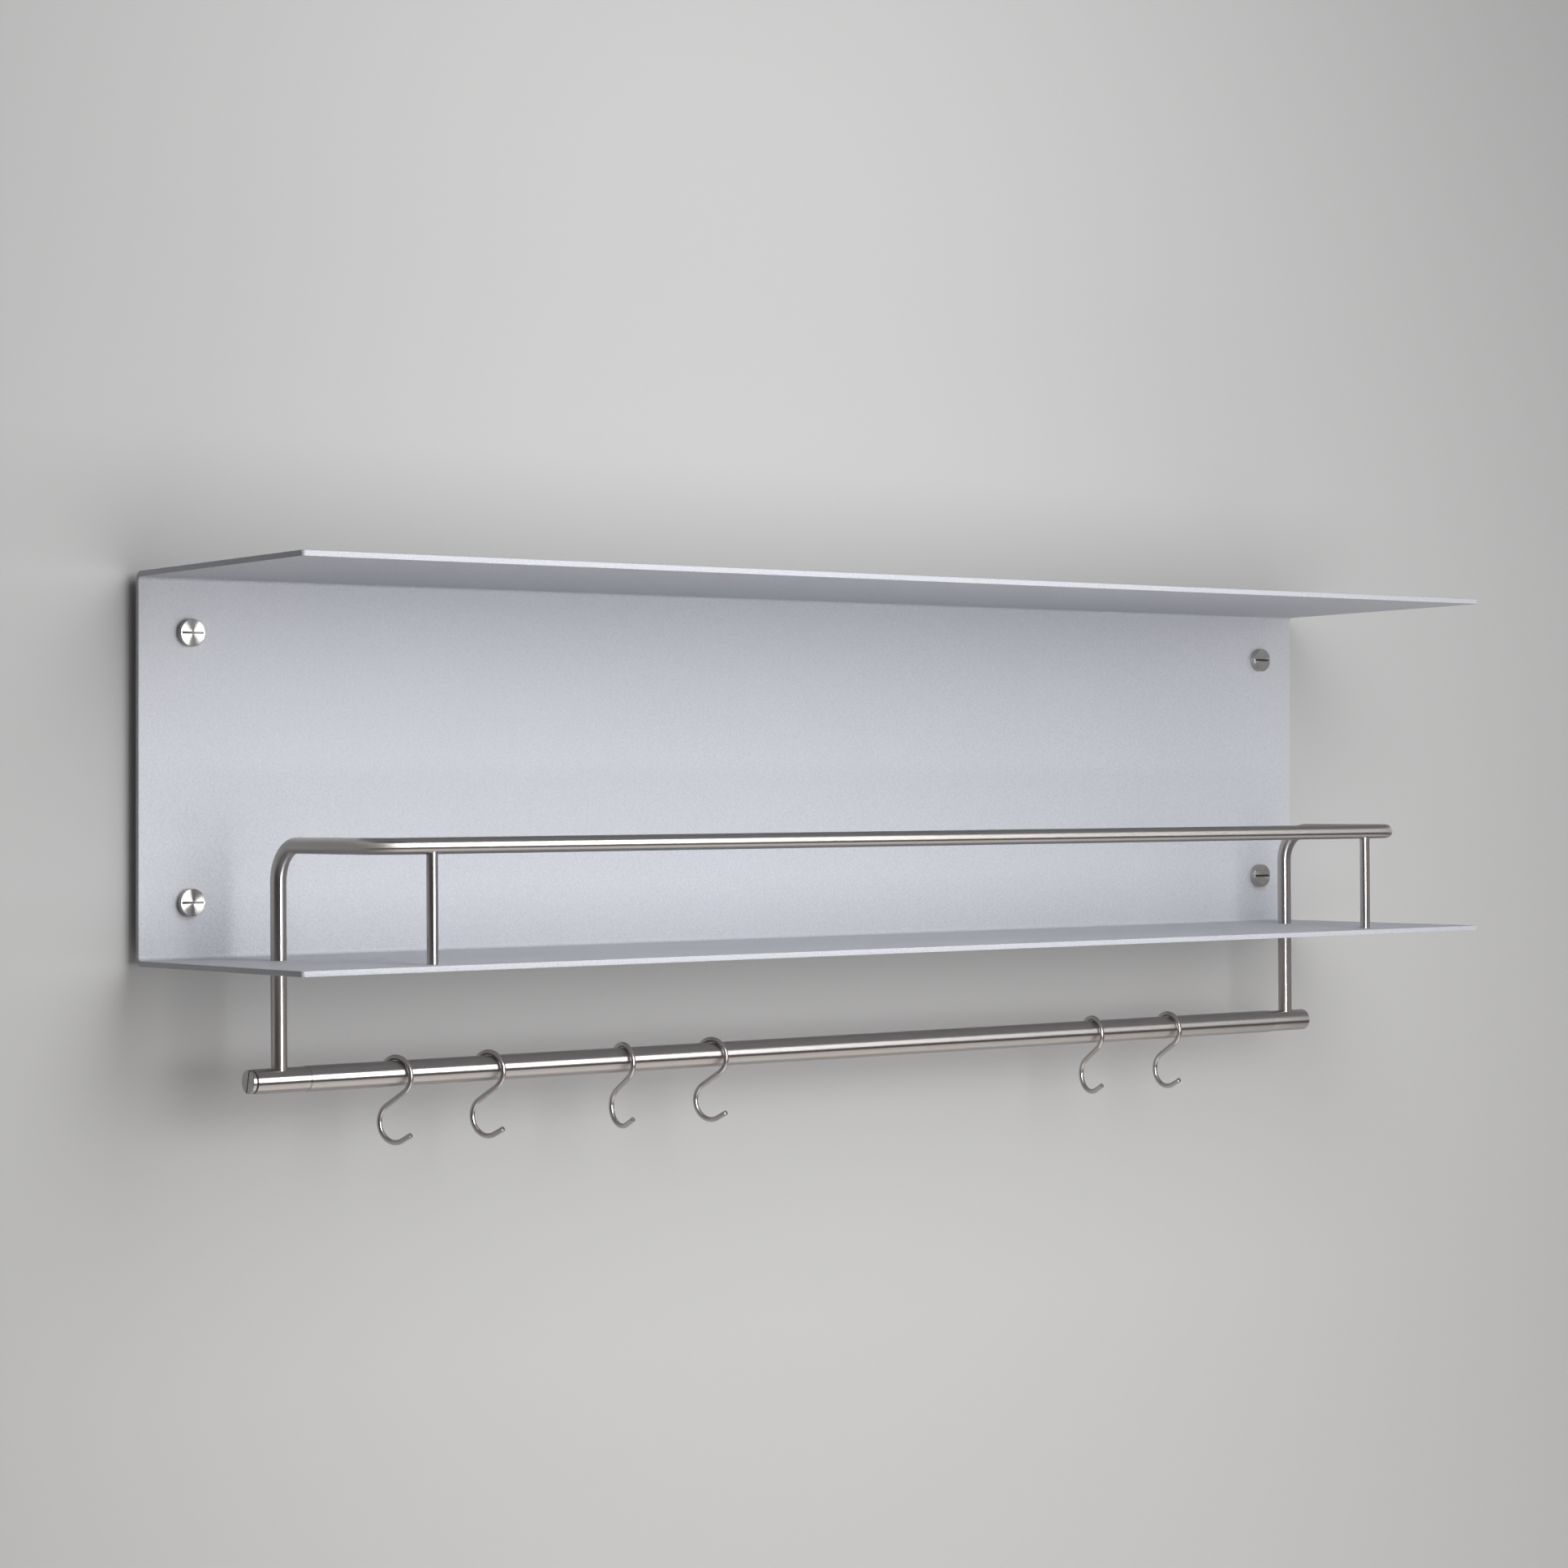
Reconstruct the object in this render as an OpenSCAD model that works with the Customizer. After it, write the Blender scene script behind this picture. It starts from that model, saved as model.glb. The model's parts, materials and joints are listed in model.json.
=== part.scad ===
// Wall shelf with a gallery rail, a hook rail below it and six loose S-hooks.
// X runs along the shelf, -Y is the front, Z is up. The wall is the plane Y = 0.
// The origin is the centre of the four wall fixings, on the wall.

/* [Folded sheet] */
// Length of the shelf
width = 1000; // [960:10:1100]
// Depth of each shelf, from the panel's front face to its front edge
shelf_depth = 190; // [185:1:220]
// Clear height between the two shelves, at the panel
clear_height = 233; // [210:1:300]
// Thickness of the sheet
sheet_t = 3.5; // [3:0.5:4]
// Inside radius of the two folds
fold_r = 2.5; // [1:0.5:4]
// Rounding of the shelves' front corners
corner_r = 2.5; // [1:0.5:5]
// Rise of the upper shelf towards its front edge, in degrees
upper_rise = 1.3; // [0:0.1:2]
// Rise of the lower shelf and all that stands on it, in degrees
lower_rise = 0.53; // [0:0.01:1]

/* [Wall fixing] */
// Spacing of the fixings along the shelf
fix_span_x = 930; // [900:1:935]
// Spacing of the fixings in height
fix_span_z = 165; // [120:1:170]
// Height from the upper fixings to the underside of the upper shelf
fix_below_upper = 33.25; // [28:0.25:38]
// Gap between the panel and the wall
standoff = 6.5; // [4:0.5:10]
// Diameter of the slotted heads
head_d = 17; // [14:0.5:20]
// Height of the slotted heads
head_h = 4.8; // [3:0.1:6]
// Diameter of the fixing studs
stud_d = 6; // [5:1:8]
// Length of stud that goes into the wall
stud_reach = 30; // [20:1:50]
// Diameter of the spacers behind the panel
spacer_d = 16; // [12:1:20]

/* [Gallery] */
// Diameter of the bent rod
rod_d = 10; // [8:0.5:12]
// Bend radius of the rod, at its centre line
rod_bend_r = 22.5; // [16:0.5:30]
// Distance of each leg from the shelf's end
leg_inset = 64.5; // [60:0.5:80]
// Distance of the legs from the panel's face
leg_back = 56.25; // [50:0.25:60]
// Distance of the front bar from the shelf's front edge
bar_back = 19.25; // [15:0.25:25]
// Height of the front bar above the lower shelf
bar_rise = 69.75; // [60:0.25:90]
// Diameter of the front posts
post_d = 7; // [6:0.5:8]
// Distance of each post from the shelf's end
post_inset = 100.5; // [95:0.5:140]

/* [Hook rail] */
// Diameter of the rail's tube
rail_d = 16; // [15.5:0.1:17]
// Wall of the rail's tube
rail_wall = 1.5; // [1:0.1:2]
// Height from the rail's axis to the lower shelf's upper face
rail_drop = 72.5; // [65:0.5:90]
// Diameter of the two end fittings
end_d = 15.2; // [15:0.1:15.5]
// Length of each end fitting on either side of its leg
end_half = 18.5; // [16:0.5:19]
// Turn of the end screw's slot from upright, in degrees
end_slot_turn = 15; // [0:5:90]

/* [S-hooks] */
// Diameter of the hooks' wire
wire_d = 3.4; // [3:0.1:4]
// Radius of the upper loop, at the wire's centre
loop_r = 11.7; // [11.5:0.1:12]
// Radius of the lower bowl, at the wire's centre
bowl_r = 12.2; // [12:0.1:12.4]
// Height from the loop's centre to the bowl's centre
loop_to_bowl = 29; // [28.5:0.1:31]
// Distance of the bowl's centre behind the loop's centre
bowl_back = 1; // [0:0.1:2]
// Slope of the bowl's straight tip, in degrees
tip_slope = 28; // [20:1:40]
// Length of the bowl's straight tip
tip_length = 8; // [5:0.5:10]
// Angle at which the upper loop ends behind the rail, in degrees
loop_end = 160; // [150:1:165]
// Gap between the rail's top and a hook
hook_gap = 0.3; // [0.25:0.05:0.5]

/* [Hidden] */
// Place of each hook along the rail, and the turn of its plane towards +X
hook_x = [-352, -283, -178.5, -106, 237.5, 313];
hook_turn = [18.5, 17.5, -1.5, 17, -7, 1.5];

// Places that follow from the dimensions above
panel_back_y = -standoff;
panel_face_y = panel_back_y - sheet_t;
upper_z = fix_span_z / 2 + fix_below_upper;
lower_z = upper_z - clear_height;
leg_x = width / 2 - leg_inset;
leg_y = -leg_back;
post_x = width / 2 - post_inset;
bar_y = -shelf_depth + bar_back;
rail_r = rail_d / 2;
end_r = end_d / 2;
rail_y = panel_face_y + leg_y * cos(lower_rise) - rail_drop * sin(lower_rise);
rail_z = lower_z - leg_y * sin(lower_rise) - rail_drop * cos(lower_rise);

// Clearances
pass_gap = 0.15;
slip_gap = 0.05;

// Each fold and wire bend is slimmer than the straights it joins by the skin, and runs into them
// by the lap
skin = 0.01;
lap = 0.1;

// Slots and edges of the screws; a disc of head_cutter_r sinks each head's slot, which ends
// head_slot_inset short of the rim
head_slot_w = 1.5;
head_slot_h = 1.2;
head_slot_inset = 0.8;
head_slot_half = head_d / 2 - head_slot_inset;
head_cutter_r = (pow(head_slot_half, 2) + pow(head_slot_h, 2)) / (2 * head_slot_h);
head_edge = 0.3;
neck_d = stud_d - 0.5;
end_head_d = 14.6;
end_head_h = 2.5;
end_neck_d = 13;
end_neck_h = 0.8;
end_edge = 0.5;
end_screw_d = 6;
end_slot_w = 1;
end_slot_h = 1.2;
spigot_length = 20;
leg_seat = 3;
leg_screw_d = 5;
leg_screw_length = 6;
leg_screw_key = 2.5;
leg_screw_key_h = 2.5;
post_screw_d = 4;
post_screw_depth = 14;
post_screw_head_d = 7.6;
post_screw_cone = (post_screw_head_d - post_screw_d) / 2;
post_screw_key = 2.5;
post_screw_key_h = 1.4;

// Geometry of the S-hook: the loop's and the bowl's centres and the straight stem between them
wire_r = wire_d / 2;
loop_z = rail_r + hook_gap + wire_r - loop_r;
loop_c = [0, loop_z];
bowl_c = [-bowl_back, loop_z - loop_to_bowl];
centre_gap = norm(bowl_c - loop_c);
stem_angle = atan2(-loop_to_bowl, -bowl_back) + acos((loop_r + bowl_r) / centre_gap);
stem_length = sqrt(pow(centre_gap, 2) - pow(loop_r + bowl_r, 2));

COAT = "#b3b6bc";
STEEL = "#a39c97";
TURNED = "#c6c4c0";
BLACK = "#232323";

$fn = 64;

// ---- helpers ----

// A cylinder along +X from the origin
module x_rod(r, length) {
    rotate([0, 90, 0]) cylinder(r = r, h = length);
}

// A cylinder along +Y from the origin
module y_rod(r, length) {
    rotate([-90, 0, 0]) cylinder(r = r, h = length);
}

// Carries its children into the frame of the lower shelf: the origin is the inside corner at the
// panel, Z = 0 is the shelf's upper face, and the frame leans back with the shelf's rise
module on_lower_shelf() {
    translate([0, panel_face_y, lower_z]) rotate([-lower_rise, 0, 0]) children();
}

// A quarter bend of the gallery's rod in the XY plane, from +X to +Y about the origin
module quarter_bend() {
    rotate_extrude(angle = 90) translate([rod_bend_r, 0]) circle(r = rod_d / 2);
}

// A bend of the hooks' wire in the XY plane, from angle a to angle b about the origin
module wire_bend(bend_r, a, b) {
    over = lap / bend_r * 180 / PI;
    rotate([0, 0, a - over]) rotate_extrude(angle = b - a + 2 * over)
        translate([bend_r, 0]) circle(r = wire_r - skin);
}

// ---- folded sheet ----

// A shelf with rounded front corners, its upper face at Z = 0 and its back at Y = -start
module shelf_plate(start) {
    translate([0, 0, -sheet_t]) linear_extrude(sheet_t) {
        translate([-width / 2, -shelf_depth + corner_r]) square([width, shelf_depth - corner_r - start]);
        translate([-width / 2 + corner_r, -shelf_depth]) square([width - 2 * corner_r, 2 * corner_r]);
        for (side = [-1, 1])
            translate([side * (width / 2 - corner_r), -shelf_depth + corner_r]) circle(r = corner_r);
    }
}

// A shelf below a panel with the fold between them; the origin is their inside corner.
// A positive rise lifts the front edge.
module folded_shelf(rise) {
    sweep = 90 + rise;
    tangent = fold_r * tan(sweep / 2);
    over = lap / fold_r * 180 / PI;
    translate([0, -fold_r, tangent]) rotate([0, 90, 0]) rotate([0, 0, -rise - over])
        rotate_extrude(angle = sweep + 2 * over) translate([fold_r + skin, skin - width / 2])
            square([sheet_t - 2 * skin, width - 2 * skin]);
    rotate([-rise, 0, 0]) shelf_plate(tangent);
}

// The panel and its two folded shelves, before drilling
module folded_sheet() {
    low_tangent = fold_r * tan((90 + lower_rise) / 2);
    top_tangent = fold_r * tan((90 - upper_rise) / 2);
    translate([-width / 2, panel_face_y, lower_z + low_tangent])
        cube([width, sheet_t, clear_height - low_tangent - top_tangent]);
    translate([0, panel_face_y, lower_z]) folded_shelf(lower_rise);
    translate([0, panel_face_y, upper_z]) mirror([0, 0, 1]) folded_shelf(-upper_rise);
}

module shelf_body() {
    color(COAT) difference() {
        folded_sheet();
        for (x = [-fix_span_x / 2, fix_span_x / 2], z = [-fix_span_z / 2, fix_span_z / 2])
            translate([x, panel_face_y - 1, z]) y_rod(stud_d / 2 + pass_gap, sheet_t + 2);
        on_lower_shelf() for (side = [-1, 1]) {
            translate([side * leg_x, leg_y, -sheet_t - 1]) cylinder(r = rod_d / 2 + pass_gap, h = sheet_t + 2);
            translate([side * post_x, bar_y, -sheet_t - 1]) {
                cylinder(r = post_screw_d / 2 + pass_gap, h = sheet_t + 2);
                cylinder(r1 = post_screw_head_d / 2 + pass_gap + 1, r2 = post_screw_d / 2 + pass_gap,
                    h = post_screw_cone + 1);
            }
        }
    }
}

// ---- wall fixing ----

// A slotted disc head, a neck through the panel and its spacer, and a stud that stands in the wall
module wall_screw(side, level) {
    face_y = panel_face_y - head_h;
    color(TURNED) translate([side * fix_span_x / 2, 0, level * fix_span_z / 2]) {
        difference() {
            translate([0, face_y, 0]) {
                y_rod(head_d / 2 - head_edge, head_h);
                rotate([-90, 0, 0]) cylinder(r1 = head_d / 2 - head_edge, r2 = head_d / 2, h = head_edge);
                translate([0, head_edge, 0]) y_rod(head_d / 2, head_h - head_edge);
            }
            translate([0, face_y - head_cutter_r + head_slot_h, -head_slot_w / 2])
                cylinder(r = head_cutter_r, h = head_slot_w);
        }
        translate([0, panel_face_y - 1, 0]) y_rod(neck_d / 2, 1 + sheet_t + standoff);
        y_rod(stud_d / 2, stud_reach);
    }
}

// A bush that holds the panel off the wall
module wall_spacer(side, level) {
    color(BLACK) translate([side * fix_span_x / 2, panel_back_y, level * fix_span_z / 2]) difference() {
        y_rod(spacer_d / 2, standoff);
        translate([0, -1, 0]) y_rod(stud_d / 2 + pass_gap, standoff + 2);
    }
}

// ---- gallery ----

// One leg, its arm and the two bends; the leg's centre line is at X = 0, the bar lies towards +X
module gallery_side() {
    arm = leg_y - bar_y - 2 * rod_bend_r;
    translate([0, leg_y, -rail_drop - leg_seat])
        cylinder(r = rod_d / 2, h = rail_drop + leg_seat + bar_rise - rod_bend_r);
    translate([0, leg_y - rod_bend_r, bar_rise - rod_bend_r]) rotate([90, 0, 90]) quarter_bend();
    translate([0, bar_y + rod_bend_r, bar_rise]) y_rod(rod_d / 2, arm);
    translate([rod_bend_r, bar_y + rod_bend_r, bar_rise]) rotate([0, 0, 180]) quarter_bend();
}

// The bent rod: two legs through the lower shelf, two arms and the front bar
module gallery_rail() {
    bar_half = leg_x - rod_bend_r;
    color(STEEL) on_lower_shelf() {
        translate([-leg_x, 0, 0]) gallery_side();
        translate([leg_x, 0, 0]) mirror([1, 0, 0]) gallery_side();
        translate([-bar_half, bar_y, bar_rise]) x_rod(rod_d / 2, 2 * bar_half);
    }
}

// A post between the lower shelf and the front bar, saddled to the bar and tapped from below
module front_post(side) {
    color(STEEL) on_lower_shelf() difference() {
        translate([side * post_x, bar_y, 0]) cylinder(r = post_d / 2, h = bar_rise);
        translate([side * post_x - post_d, bar_y, bar_rise]) x_rod(rod_d / 2, 2 * post_d);
        translate([side * post_x, bar_y, -1])
            cylinder(r = post_screw_d / 2 + slip_gap, h = post_screw_depth + 1 + slip_gap);
    }
}

// The countersunk socket screw that holds a post from under the shelf
module post_screw(side) {
    color(TURNED) on_lower_shelf() translate([side * post_x, bar_y, -sheet_t]) difference() {
        union() {
            cylinder(r1 = post_screw_head_d / 2, r2 = post_screw_d / 2, h = post_screw_cone);
            cylinder(r = post_screw_d / 2, h = sheet_t + post_screw_depth);
        }
        translate([0, 0, -1]) cylinder(r = post_screw_key / sqrt(3), h = post_screw_key_h + 1, $fn = 6);
    }
}

// ---- hook rail ----

// The tube between the two end fittings
module hook_rail() {
    half = leg_x - end_half;
    color(STEEL) on_lower_shelf() translate([-half, leg_y, -rail_drop]) difference() {
        x_rod(rail_r, 2 * half);
        translate([-1, 0, 0]) x_rod(rail_r - rail_wall, 2 * half + 2);
    }
}

// An end fitting about its leg's axis, its spigot towards +X, with a bore for the leg's end
module end_fitting() {
    difference() {
        union() {
            translate([-end_half + end_edge, 0, 0]) x_rod(end_r, 2 * end_half - end_edge);
            translate([-end_half, 0, 0]) rotate([0, 90, 0])
                cylinder(r1 = end_r - end_edge, r2 = end_r, h = end_edge);
            translate([end_half, 0, 0]) x_rod(rail_r - rail_wall - slip_gap, spigot_length);
        }
        translate([0, 0, -leg_seat]) cylinder(r = rod_d / 2 + slip_gap, h = leg_seat + rail_d);
    }
}

// The left fitting is tapped along its axis for the end screw
module rail_end_left() {
    color(STEEL) on_lower_shelf() translate([-leg_x, leg_y, -rail_drop]) difference() {
        end_fitting();
        translate([-end_half - 1, 0, 0]) x_rod(end_screw_d / 2 + slip_gap, end_half + 1);
    }
}

// The right fitting is tapped from below for the leg screw
module rail_end_right() {
    color(STEEL) on_lower_shelf() translate([leg_x, leg_y, -rail_drop]) difference() {
        mirror([1, 0, 0]) end_fitting();
        translate([0, 0, -rail_d]) cylinder(r = leg_screw_d / 2 + slip_gap, h = rail_d);
    }
}

// The slotted screw that clamps the left leg in its fitting
module end_screw() {
    seat_x = -leg_x - end_half;
    face_x = seat_x - end_neck_h - end_head_h;
    color(TURNED) on_lower_shelf() translate([0, leg_y, -rail_drop]) {
        difference() {
            union() {
                translate([face_x + head_edge, 0, 0]) x_rod(end_head_d / 2, end_head_h - head_edge);
                translate([face_x, 0, 0]) rotate([0, 90, 0])
                    cylinder(r1 = end_head_d / 2 - head_edge, r2 = end_head_d / 2, h = head_edge);
            }
            translate([face_x, 0, 0]) rotate([end_slot_turn, 0, 0])
                cube([2 * end_slot_h, end_slot_w, 2 * end_head_d], center = true);
        }
        translate([face_x + end_head_h, 0, 0]) x_rod(end_neck_d / 2, end_neck_h);
        translate([seat_x, 0, 0]) x_rod(end_screw_d / 2, end_half - rod_d / 2 - slip_gap);
    }
}

// The grub screw that clamps the right leg from under its fitting
module leg_screw() {
    color(BLACK) on_lower_shelf() translate([leg_x, leg_y, -rail_drop - leg_seat]) difference() {
        translate([0, 0, -leg_screw_length]) intersection() {
            cylinder(r = leg_screw_d / 2, h = leg_screw_length - slip_gap);
            translate([0, 0, leg_screw_length + leg_seat]) x_bar_cover();
        }
        translate([0, 0, -leg_screw_length - 1])
            cylinder(r = leg_screw_key / sqrt(3), h = leg_screw_key_h + 1 + leg_screw_length - end_r + leg_seat, $fn = 6);
    }
}

// The round bar that the grub screw's outer end is cut flush with, centred on the origin
module x_bar_cover() {
    translate([-rail_d, 0, 0]) x_rod(end_r, 2 * rail_d);
}

// ---- S-hooks ----

// A hook in the XY plane: +X is the hook's front, +Y is up, and the rail's axis is the origin
module s_hook_flat() {
    stem = [cos(stem_angle), sin(stem_angle)];
    tip_angle = 270 + tip_slope;
    bowl_end = bowl_c + bowl_r * [cos(tip_angle), sin(tip_angle)];
    translate(loop_c) wire_bend(loop_r, stem_angle, loop_end);
    translate(loop_c + loop_r * stem) rotate([0, 0, stem_angle]) rotate([90, 0, 0])
        cylinder(r = wire_r, h = stem_length);
    translate(bowl_c) wire_bend(bowl_r, stem_angle + 180, tip_angle);
    translate(bowl_end) rotate([0, 0, tip_slope]) rotate([0, 90, 0]) cylinder(r = wire_r, h = tip_length);
}

// Hook number n, counted from the left from zero
module s_hook(n) {
    color(STEEL) translate([hook_x[n], rail_y, rail_z]) rotate([0, 0, hook_turn[n] - 90]) rotate([90, 0, 0])
        s_hook_flat();
}

shelf_body();
wall_screw(-1, 1);  // wall_screw_upper_left
wall_screw(1, 1);  // wall_screw_upper_right
wall_screw(-1, -1);  // wall_screw_lower_left
wall_screw(1, -1);  // wall_screw_lower_right
wall_spacer(-1, 1);  // wall_spacer_upper_left
wall_spacer(1, 1);  // wall_spacer_upper_right
wall_spacer(-1, -1);  // wall_spacer_lower_left
wall_spacer(1, -1);  // wall_spacer_lower_right
gallery_rail();
front_post(-1);  // front_post_left
front_post(1);  // front_post_right
post_screw(-1);  // post_screw_left
post_screw(1);  // post_screw_right
hook_rail();
rail_end_left();
rail_end_right();
end_screw();
leg_screw();
s_hook(0);  // s_hook_1
s_hook(1);  // s_hook_2
s_hook(2);  // s_hook_3
s_hook(3);  // s_hook_4
s_hook(4);  // s_hook_5
s_hook(5);  // s_hook_6
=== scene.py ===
"""Wall hook rack: the visual model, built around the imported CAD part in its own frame, in metres."""
import json
import math

import bpy
import bmesh
from mathutils import Matrix, Vector


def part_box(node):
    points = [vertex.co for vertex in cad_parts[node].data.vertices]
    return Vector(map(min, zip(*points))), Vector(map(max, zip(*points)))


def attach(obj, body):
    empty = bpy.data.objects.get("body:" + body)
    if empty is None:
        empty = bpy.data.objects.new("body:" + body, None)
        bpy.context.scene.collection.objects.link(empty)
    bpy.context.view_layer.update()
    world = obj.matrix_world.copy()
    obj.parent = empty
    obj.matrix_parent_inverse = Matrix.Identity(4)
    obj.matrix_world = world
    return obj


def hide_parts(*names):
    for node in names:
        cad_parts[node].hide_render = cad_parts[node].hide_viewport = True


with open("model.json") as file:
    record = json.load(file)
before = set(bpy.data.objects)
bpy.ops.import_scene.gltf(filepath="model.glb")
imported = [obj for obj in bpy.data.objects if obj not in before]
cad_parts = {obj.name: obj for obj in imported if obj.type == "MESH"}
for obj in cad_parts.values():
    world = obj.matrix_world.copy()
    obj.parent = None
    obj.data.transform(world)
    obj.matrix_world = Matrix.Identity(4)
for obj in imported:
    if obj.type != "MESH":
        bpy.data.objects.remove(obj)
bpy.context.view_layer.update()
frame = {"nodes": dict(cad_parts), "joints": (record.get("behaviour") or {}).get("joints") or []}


scene = bpy.context.scene
BODY = "rack"
TAU = 2 * math.pi
SIDES = (("left", -1), ("right", 1))
LEVELS = ("upper", "lower")

# ---------------------------------------------------------------- places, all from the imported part

sheet_lo, sheet_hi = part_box("shelf_body")
rod_lo, rod_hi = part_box("gallery_rail")
tube_lo, tube_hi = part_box("hook_rail")
joints = {j["child"]: j for j in frame["joints"]}
rail_axis = Vector(joints["hook_1"]["pos_m"])
rail_axis.x = 0

LEAN = math.radians(0.53)       # rise of the lower shelf and of all that stands on it
UPPER_RISE = math.radians(1.3)  # rise of the upper shelf
SHEET_T = 0.0035
FOLD_R = 0.0025
CORNER_R = 0.0025
SHELF_DEPTH = 0.190
ROD_R = 0.005
BEND_R = 0.0225
POST_R = 0.0035
RAIL_R = (tube_hi.z - tube_lo.z) / 2
RAIL_WALL = 0.0015
WIRE_R = 0.0017
LEG_SINK = 0.003        # how deep the legs stand below the rail's axis
HEAD_EDGE = 0.0004      # rounding of the turned heads' rims

half_width = sheet_hi.x
panel_back = sheet_hi.y
panel_face = panel_back - SHEET_T
up = Vector((0, math.sin(LEAN), math.cos(LEAN)))        # along the legs
out = Vector((0, -math.cos(LEAN), math.sin(LEAN)))      # along the lower shelf, to the front
east = Vector((1, 0, 0))
into_wall = Vector((0, 1, 0))
bar = Vector((0, rod_lo.y + ROD_R, rod_hi.z - ROD_R))   # the front bar's axis
leg_x = rod_hi.x - ROD_R
lower_z = sheet_lo.z + SHEET_T
corner = Vector((0, panel_face, lower_z))               # inside corner of panel and lower shelf
rail_drop = -(rail_axis - corner).dot(up)
leg_out = (rail_axis - corner).dot(out)
bar_rise = (bar - corner).dot(up)
bar_out = (bar - corner).dot(out)


def on_shelf(x, o, z):
    """A point x along the shelf, o out from the panel's face and z above the lower shelf."""
    return corner + east * x + out * o + up * z


# ---------------------------------------------------------------- mesh helpers

GRAIN_ROUND = TAU * 0.005   # what V runs to around any round piece, whatever its radius

SHARP = math.radians(32)    # a steeper edge than this is drawn sharp


def finish_mesh(name, bm, material, body=BODY, sharp=SHARP, stands_for=()):
    bmesh.ops.recalc_face_normals(bm, faces=bm.faces)
    for e in bm.edges:
        if len(e.link_faces) == 2 and e.calc_face_angle(0) > sharp:
            e.smooth = False
    mesh = bpy.data.meshes.new(name)
    bm.to_mesh(mesh)
    bm.free()
    obj = bpy.data.objects.new(name, mesh)
    scene.collection.objects.link(obj)
    mesh.materials.append(MATERIALS[material])
    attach(obj, body)
    if stands_for:
        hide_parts(*stands_for)
    return obj


def ring(bm, centre, a, b, r, n):
    return [bm.verts.new(centre + a * (r * math.cos(TAU * i / n)) + b * (r * math.sin(TAU * i / n)))
            for i in range(n)]


def skin_rings(bm, rings, steps, around, closed_ends=(True, True)):
    """Quads between rings, with U along the piece and V around it, both in metres."""
    uv = bm.loops.layers.uv.verify()
    n = len(rings[0])
    for k in range(len(rings) - 1):
        for i in range(n):
            j = (i + 1) % n
            f = bm.faces.new((rings[k][i], rings[k][j], rings[k + 1][j], rings[k + 1][i]))
            f.smooth = True
            coords = ((steps[k], i), (steps[k], i + 1), (steps[k + 1], i + 1), (steps[k + 1], i))
            for loop, (u, v) in zip(f.loops, coords):
                loop[uv].uv = (u, v * around / n)
    for end, k in ((closed_ends[0], 0), (closed_ends[1], -1)):
        if end:
            f = bm.faces.new(rings[k] if k else rings[k][::-1])
            f.smooth = False
            mid = sum((v.co for v in f.verts), Vector()) / len(f.verts)
            for loop in f.loops:
                d = loop.vert.co - mid
                loop[uv].uv = (d.x + d.z, d.y + d.z)


def heading(p, q):
    """The direction from p to q, or None where they are one point."""
    return (q - p).normalized() if (q - p).length > 1e-9 else None


def sweep(bm, path, radii, n, side):
    """A round rod along path, with one radius for each of its points."""
    t0 = (path[1] - path[0]).normalized()
    a = (side - t0 * side.dot(t0)).normalized()
    rings, steps, run, last = [], [], 0.0, t0
    for k, p in enumerate(path):
        before = heading(path[k - 1], p) if k else None
        after = heading(p, path[k + 1]) if k + 1 < len(path) else None
        t = ((before or after) + (after or before)).normalized()
        a = last.rotation_difference(t) @ a
        a = (a - t * a.dot(t)).normalized()
        last = t
        run += (p - path[k - 1]).length if k else 0.0
        rings.append(ring(bm, p, a, t.cross(a), radii[k], n))
        steps.append(run)
    skin_rings(bm, rings, steps, GRAIN_ROUND)


def lathe(bm, origin, axis, profile, n=64, side=None):
    """A turned piece: profile is [(distance along the axis, radius), ...]."""
    a = (side or axis.orthogonal()).normalized()
    b = axis.cross(a)
    rings, steps, run = [], [], 0.0
    for k, (d, r) in enumerate(profile):
        if k:
            run += math.hypot(d - profile[k - 1][0], r - profile[k - 1][1])
        rings.append(ring(bm, origin + axis * d, a, b, r, n))
        steps.append(run)
    skin_rings(bm, rings, steps, GRAIN_ROUND)


def tube(bm, origin, profile, axes, n):
    """A turned piece with a bore: the profile closes on itself. axes are its own axis and two across."""
    axis, a, b = axes
    rings, steps, run = [], [], 0.0
    for k, (d, r) in enumerate(profile):
        if k:
            run += math.hypot(d - profile[k - 1][0], r - profile[k - 1][1])
        rings.append(ring(bm, origin + axis * d, a, b, r, n))
        steps.append(run)
    rings.append(rings[0])
    steps.append(run + profile[-1][0])
    skin_rings(bm, rings, steps, GRAIN_ROUND, closed_ends=(False, False))


def bore(bm, start, axis, r, length, side=None):
    """A plain round cutter."""
    lathe(bm, start, axis, [(0, r), (length, r)], side=side)


def arc(centre, a, b, r, start, end, k):
    """Points of an arc about centre in the plane of a and b, without its first point."""
    turns = [start + (end - start) * i / k for i in range(1, k + 1)]
    return [centre + a * (r * math.cos(t)) + b * (r * math.sin(t)) for t in turns]


def rounding(e, r, k):
    """Profile points of a quarter round of radius e at the rim of an end face of radius r."""
    turns = [math.pi / 2 * i / k for i in range(k + 1)]
    return [(e - e * math.cos(t), r - e + e * math.sin(t)) for t in turns]


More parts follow.
